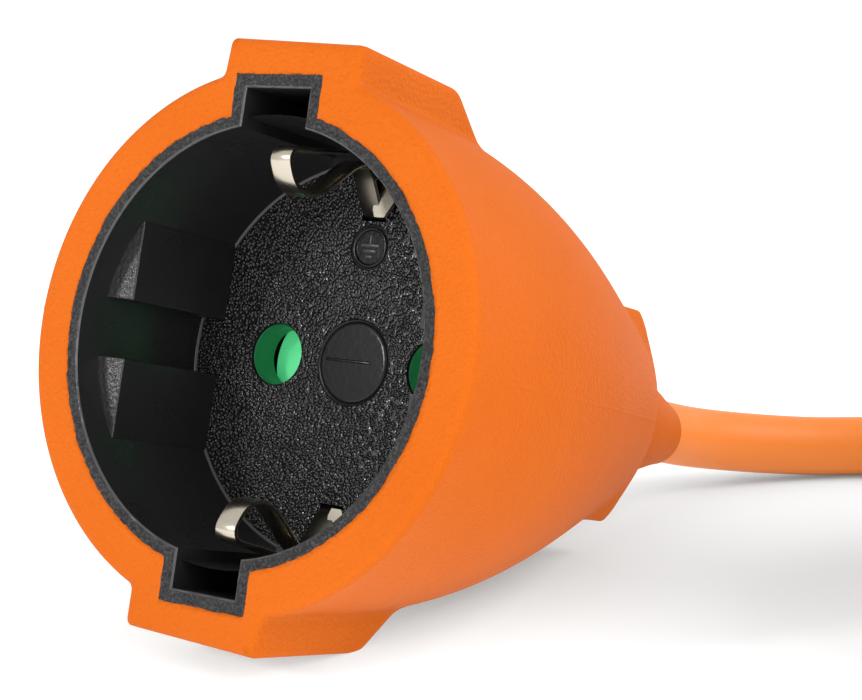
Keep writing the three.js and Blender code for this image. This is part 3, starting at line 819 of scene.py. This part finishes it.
def earth_mark():
    """The plain earth symbol in its ring."""
    y = WELL_DEPTH
    ring = lathe(
        [(MARK_RADIUS, y), (2.2, y + 0.12), (2.1, y + 0.12), (2.0, y - 0.06), (1.85, y - 0.12)]
        + [(1.7, y - 0.06), (1.62, y + 0.1), (0.02, y + 0.1)],
        56,
        MARK_CENTRE,
    )
    parts = [(*ring, BLACK_SMOOTH)]
    x, z = MARK_CENTRE
    # the symbol's bars take the lighter black: painted highlight on the raised relief
    for bar in (
        (x, z + 0.75, 0.16, 0.95),
        (x, z + 0.2, 2.1, 0.2),
        (x, z - 0.35, 1.45, 0.2),
        (x, z - 0.9, 0.8, 0.2),
    ):
        parts.append((*rounded_bar(*bar, 0.15, y + 0.1), BLACK_EDGE_PAINTED_HIGHLIGHT))
    return parts


def centre_disc():
    """The plain round field in the middle of the floor."""
    y = WELL_DEPTH
    disc = lathe(
        [(FIELD_RADIUS, y), (4.2, y + 0.12), (4.08, y + 0.14), (3.98, y + 0.02), (3.86, y - 0.06)]
        + [(3.6, y - 0.07), (0.02, y - 0.07)],
        72,
    )
    rib = rounded_bar(-0.6, 0.1, 5.2, 0.14, 0.08, y - 0.06)
    return [(*disc, BLACK_SMOOTH), (*rib, BLACK_SMOOTH)]


def guide(side, above):
    """One guide block: a slice of the well's wall cut off by a chord."""
    top = math.sqrt(WELL_RADIUS**2 - GUIDE_CHORD**2)
    outline = [(GUIDE_CHORD, GUIDE_CHANNEL), (GUIDE_CHORD, top - 0.1)]
    first = math.atan2(top, GUIDE_CHORD)
    last = math.atan2(GUIDE_CHANNEL, WELL_RADIUS)
    radius = WELL_RADIUS + 0.3
    steps = 12
    for i in range(steps + 1):
        angle = first + (last - first) * i / steps
        outline.append((radius * math.cos(angle), radius * math.sin(angle)))
    outline = [(side * x, above * z) for x, z in outline]
    if side * above > 0:
        outline.reverse()
    verts, faces = prism(outline, GUIDE_FRONT, WELL_DEPTH + 0.2)
    front = slice(0, len(outline))
    verts[front, 1] -= GUIDE_SLOPE * (np.abs(verts[front, 0]) - GUIDE_CHORD)
    return verts, faces


def insert():
    """The black insert: its rim, well, floor with the holes, marks, and outer shell."""
    parts = rim_and_walls()
    mirrored_slot = [(x, -z) for x, z in SLOT]
    pin_holes = [circle(HOLE_RADIUS + 0.08, 56, (side * PIN_X, 0)) for side in (-1, 1)]
    fields = [circle(FIELD_RADIUS, 72), circle(MARK_RADIUS, 56, MARK_CENTRE)]
    plate = holed_plate(
        WELL_DEPTH,
        circle(WELL_RADIUS + 0.2, 120),
        [*pin_holes, *fields, SLOT, mirrored_slot],
    )
    parts.append((*plate, BLACK_FLOOR))
    # a thin fillet where the wall meets the floor, painted lighter as a painted highlight, then the
    # holes' walls
    corner = [(19.85, 17.38), (19.78, 17.48), (19.68, 17.55), (19.55, 17.59)]
    parts.append((*lathe(corner, 120), BLACK_EDGE_PAINTED_HIGHLIGHT))
    for side in (-1, 1):
        hole = circle(HOLE_RADIUS, 56, (side * PIN_X, 0))
        parts.append((*tube_wall(hole, WELL_DEPTH, WELL_DEPTH + HOLE_WALL, 0.08), BLACK_SMOOTH))
    for slot in (SLOT, mirrored_slot):
        parts.append((*tube_wall(slot, WELL_DEPTH, WELL_DEPTH + HOLE_WALL), BLACK_SMOOTH))
    parts += earth_mark() + centre_disc()
    # the wall that closes each notch at its rear
    notch_back = [(-3.8, 18.6), (3.8, 18.6), (3.8, 23.2), (-3.8, 23.2)]
    for sign in (-1, 1):
        outline = [(x, sign * z) for x, z in notch_back]
        parts.append((*prism(outline, NOTCH_DEPTH, NOTCH_DEPTH + 1), BLACK_WALL))
    # the outside, behind the rim, left open at the rear for the cage
    shell = lathe([(20.8, 0.8), (20.8, 20), (13.5, 20)], 72)
    parts.append((*shell, BLACK_WALL))
    return object_of("socket_insert_look", parts, sharp_angle=50)


insert_piece = insert()
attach(insert_piece, "cord_set")
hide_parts("socket_insert")

guide_parts = [(*guide(side, above), BLACK_WALL) for side in (-1, 1) for above in (-1, 1)]
guide_piece = object_of("guide_blocks", guide_parts, bevel=0.2)
guide_piece.data.materials.append(BLACK_FRONT_PAINTED_HIGHLIGHT)
# each block has two end faces with more than four corners, the front one first; the front ones take
# the lighter black as a painted highlight
guide_ends = [face for face in guide_piece.data.polygons if len(face.vertices) > 4]
for face in guide_ends[::2]:
    face.material_index = 1
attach(guide_piece, "cord_set")


# ---------------------------------------------------------------- shutter
def cage():
    """The fixed green cage: a plate with liners that reach into both pin holes."""
    holes = [circle(HOLE_RADIUS, 48, (side * PIN_X, 0)) for side in (-1, 1)]
    middle = circle(CAGE_HUB_RADIUS, 48)
    outline = circle(DISC_RADIUS, 96)
    parts = [(*holed_plate(y, outline, [*holes, middle]), GREEN) for y in (CAGE_FRONT, CAGE_BACK)]
    parts += [(*tube_wall(edge, CAGE_FRONT, CAGE_BACK), GREEN) for edge in (outline, middle)]
    liner = [(3.2, CAGE_FRONT), (3.2, 17.95), (3.1, 17.9), (3.0, 17.95)]
    liner += [(2.98, LINER_BACK), (3.2, LINER_BACK)]
    for side in (-1, 1):
        parts.append((*lathe(liner, 56, (side * PIN_X, 0)), GREEN))
    return object_of("shutter_cage_look", parts, sharp_angle=40)


cage_piece = cage()
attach(cage_piece, "cord_set")
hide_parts("shutter_cage")


# the closed face behind a pin hole: an arc from its lower end up, then its straight inner side
PAD = [
    (PAD_RADIUS * math.cos(angle), PAD_RADIUS * math.sin(angle) - 0.4)
    for angle in np.linspace(-1.3, 0.57, 40).tolist()
] + [(0.0, 2.75), (0.0, -6.0)]


def disc():
    """The turning disc: closed behind the pin holes, with its own holes turned away."""
    turn = math.radians(SHUTTER_TURN)
    holes = [
        circle(DISC_HOLE_RADIUS, 40, (s * PIN_X * math.cos(turn), -s * PIN_X * math.sin(turn)))
        for s in (-1, 1)
    ]
    centre_hole = circle(DISC_HUB_RADIUS, 40)
    outline = circle(DISC_RADIUS, 90)
    plate_front = DISC_FRONT + PAD_DEPTH
    parts = []
    # the plate behind the closed faces is painted darker: painted shade in its recess
    for y in (plate_front, DISC_BACK):
        parts.append((*holed_plate(y, outline, [*holes, centre_hole]), GREEN_PAINTED_SHADE))
    for edge in [outline, *holes, centre_hole]:
        parts.append((*tube_wall(edge, plate_front, DISC_BACK), GREEN_PAINTED_SHADE))
    # the closed faces and their line are painted lighter and glow: painted light
    for side in (-1, 1):
        pad = [(side * (PIN_X - 3 + x), -side * z) for x, z in PAD]
        parts.append((*prism(pad, DISC_FRONT, plate_front + 0.1), GREEN_PAINTED_LIGHT))
        line = rounded_bar(side * (PIN_X - 1.2), 0.8, 7.0, 0.06, 0.05, DISC_FRONT)
        parts.append((*line, GREEN_PAINTED_LIGHT))
    return object_of("shutter_disc_look", parts, sharp_angle=40)


disc_piece = disc()
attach(disc_piece, "shutter")
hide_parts("shutter_disc")


# ---------------------------------------------------------------- earth clips
CLIP_LINE = [
    (31, 14.2), (18.4, 14.2), (17.4, 14.7), (14.8, 18.0), (13.6, 18.8), (12.4, 18.4), (9, 15.9),
    (7.3, 14.8), (5.7, 14.35), (4.4, 14.5), (3.3, 15.1), (2.5, 16.1), (2.1, 17.1), (2.5, 17.9),
    (6.5, 18.6), (10.5, 19.3),
]
CLIP_HALF_WIDTH = 1.15
CLIP_HALF_THICK = 0.24
CLIP_EDGE = 0.1
CLIP_CORNER = 0.03  # how far the middle of each rounded edge stands in
LEG_END = 14.2  # depth at which the rear leg ends; the leg is painted darker, as painted shade
CLIP_TAB = [(0.5, 14.9), (0.8, 14.2), (1.9, 14.2), (2.9, 15.8), (3.1, 17.9), (0.5, 17.9)]
TAB_FRONT = 16.5
TAB_BACK = 17.0


def clip(name, sign):
    """An earth clip swept along its bent line with rounded edges."""
    line = spline_through([(y, z, 0) for y, z in CLIP_LINE], 0.25)
    line = np.array([(p.x, p.y) for p in line] + [CLIP_LINE[-1]])
    along = np.gradient(line, axis=0)
    along /= np.linalg.norm(along, axis=1)[:, None]
    normal = np.stack([-along[:, 1], along[:, 0]], axis=1)
    section = [
        (CLIP_HALF_WIDTH - CLIP_EDGE, -CLIP_HALF_THICK),
        (CLIP_HALF_WIDTH - CLIP_CORNER, -CLIP_HALF_THICK + CLIP_CORNER),
        (CLIP_HALF_WIDTH, -CLIP_HALF_THICK + CLIP_EDGE),
        (CLIP_HALF_WIDTH, CLIP_HALF_THICK - CLIP_EDGE),
        (CLIP_HALF_WIDTH - CLIP_CORNER, CLIP_HALF_THICK - CLIP_CORNER),
        (CLIP_HALF_WIDTH - CLIP_EDGE, CLIP_HALF_THICK),
    ]
    section += [(-x, -t) for x, t in section]
    rows = []
    for point, out in zip(line, normal):
        rows.append([(x, point[0] + out[0] * t, sign * (point[1] + out[1] * t)) for x, t in section])
    verts, faces = grid(np.array(rows))
    count = len(section)
    faces += [tuple(range(count)), tuple(range(len(verts) - count, len(verts)))]
    # the rear leg takes the darker nickel: painted shade
    leg = int(np.argmax(line[:, 0] < LEG_END)) * count
    leg_faces, faces = faces[:leg], faces[leg:]
    tab = [(x, sign * z) for x, z in CLIP_TAB]
    tab_verts, tab_faces = prism(tab, TAB_FRONT, TAB_BACK)
    parts = [
        (verts, faces, NICKEL),
        (verts, leg_faces, NICKEL_PAINTED_SHADE),
        (tab_verts, tab_faces, NICKEL),
    ]
    return object_of(name, parts, sharp_angle=35)


for name, sign, body, node in (
    ("clip_upper_look", 1, "clip_upper", "earth_clip_upper"),
    ("clip_lower_look", -1, "clip_lower", "earth_clip_lower"),
):
    clip_piece = clip(name, sign)
    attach(clip_piece, body)
    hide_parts(node)


# ---------------------------------------------------------------- collar
COLLAR = [
    (5.9, 52.0), (6.1, 58.9), (6.75, 59.0), (6.85, 59.4), (6.85, 61.2), (6.77, 61.4), (6.77, 61.6),
    (6.83, 61.9), (6.78, 65.0), (6.6, 68.0), (6.3, 70.6), (5.85, 73.0), (5.3, 75.2),
    (4.75, 77.2), (4.35, 78.8), (4.1, 79.8), (3.98, 80.5), (3.82, 80.75), (3.6, 80.6),
]
COLLAR_SEAM = [(6.8, 60.6), (6.9, 60.75), (6.9, 60.9), (6.8, 61.05)]
COLLAR_DROP = 0.45  # the collar's whole drop behind the sleeve
DROP_START = 57
DROP_LENGTH = 4
COLLAR_BEND = 0.58  # what its end droops on top of that
BEND_START = 66
BEND_LENGTH = 17.4


def collar():
    """The domed collar, drooping a little towards its end."""
    parts = []
    for profile, material in ((COLLAR, BODY_ORANGE), (COLLAR_SEAM, PALE_ORANGE)):
        verts, faces = lathe(profile, 56)
        beyond = np.clip((verts[:, 1] - BEND_START) / BEND_LENGTH, 0, None)
        dropped = np.clip((verts[:, 1] - DROP_START) / DROP_LENGTH, 0, 1)
        verts[:, 2] -= COLLAR_DROP * dropped + COLLAR_BEND * beyond**2
        parts.append((verts, faces, material))
    return object_of("collar", parts, sharp_angle=60)


collar_piece = collar()
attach(collar_piece, "cord_set")
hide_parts("strain_relief")


# ---------------------------------------------------------------- CAD pieces shown as they are
NODE_MATERIALS = {
    "shutter_spring": STEEL,
    "contact_carrier": GREY,
    "live_contact": BRASS,
    "neutral_contact": BRASS,
    "earth_bracket": BRASS,
    "live_core": BROWN,
    "neutral_core": BLUE,
    "earth_core": EARTH,
    "coil_tie": STRAP,
    "plug_body": BODY_ORANGE,
    "plug_face": PLUG_BLACK,
    "plug_live_pin": NICKEL,
    "plug_neutral_pin": NICKEL,
    "plug_earth_strip_upper": NICKEL,
    "plug_earth_strip_lower": NICKEL,
    "plug_earth_socket": BRASS,
    "plug_live_core": BROWN,
    "plug_neutral_core": BLUE,
    "plug_earth_core": EARTH,
    "plug_strain_relief": BODY_ORANGE,
}
for name, material in NODE_MATERIALS.items():
    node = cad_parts[name]
    node.data.materials.clear()
    node.data.materials.append(material)
for name, width in (("plug_body", 0.5), ("plug_face", 0.3), ("coil_tie", 0.3)):
    add_bevel(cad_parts[name], width)


# ---------------------------------------------------------------- stage
def stage_floor():
    """A wide white floor, glowing weakly but less so near the coupler, where shadows fall: the
    dimmer glow there is a painted shadow.
    """
    mesh = bpy.data.meshes.new("stage_floor")
    size = 30
    corners = [(-size, -size, 0), (size, -size, 0), (size, size, 0), (-size, size, 0)]
    mesh.from_pydata(corners, [], [(0, 1, 2, 3)])
    material = new_material("stage_white_painted_shadow", (0.95, 0.95, 0.95), 0.8, specular=0.1)
    shader = material.node_tree.nodes["Principled BSDF"]
    shader.inputs["Emission Color"].default_value = (1, 1, 1, 1)
    links = material.node_tree.links
    coordinates = material.node_tree.nodes.new("ShaderNodeTexCoord")
    distance = material.node_tree.nodes.new("ShaderNodeVectorMath")
    distance.operation = "DISTANCE"
    distance.inputs[1].default_value = (0.0, 0.045, 0.0)
    links.new(coordinates.outputs["Object"], distance.inputs[0])
    # the glow dims within these distances of the middle of the painted shadow
    near, far = 0.03, 0.08  # metres from the middle of the shadow
    strength = ramp(material, distance.outputs["Value"], near, far, 0.11, 0.34, "SMOOTHSTEP")
    links.new(strength, shader.inputs["Emission Strength"])
    mesh.materials.append(material)
    floor = bpy.data.objects.new("stage_floor", mesh)
    bpy.context.scene.collection.objects.link(floor)


def area_light(name, place, target, size, power):
    """A square lamp at a place, aimed at a target."""
    data = bpy.data.lights.new(name, "AREA")
    data.shape = "RECTANGLE"
    data.size = size
    data.size_y = size
    data.energy = power
    light = bpy.data.objects.new(name, data)
    light.location = place
    aim = Vector(target) - Vector(place)
    light.rotation_euler = aim.to_track_quat("-Z", "Y").to_euler()
    bpy.context.scene.collection.objects.link(light)


stage_floor()
area_light("key", (-0.35, -0.9, 0.42), (0, -0.04, 0.03), 0.13, 3.0)
area_light("side", (0.8, -0.35, 0.35), (0, 0, 0.03), 0.4, 2.1)
area_light("rear", (0.6, 0.35, 0.55), (0, 0.02, 0.03), 0.5, 3.0)

world = bpy.data.worlds.new("studio")
world.use_nodes = True
background = world.node_tree.nodes["Background"]
background.inputs["Color"].default_value = (1, 1, 1, 1)
path = world.node_tree.nodes.new("ShaderNodeLightPath")
strength = world.node_tree.nodes.new("ShaderNodeMapRange")
strength.inputs["To Min"].default_value = 0.8  # as it lights the scene
strength.inputs["To Max"].default_value = 1.1  # as the camera sees it
world.node_tree.links.new(path.outputs["Is Camera Ray"], strength.inputs["Value"])
world.node_tree.links.new(strength.outputs["Result"], background.inputs["Strength"])
bpy.context.scene.world = world
bpy.context.scene.view_settings.view_transform = "Standard"
bpy.context.scene.view_settings.look = "None"
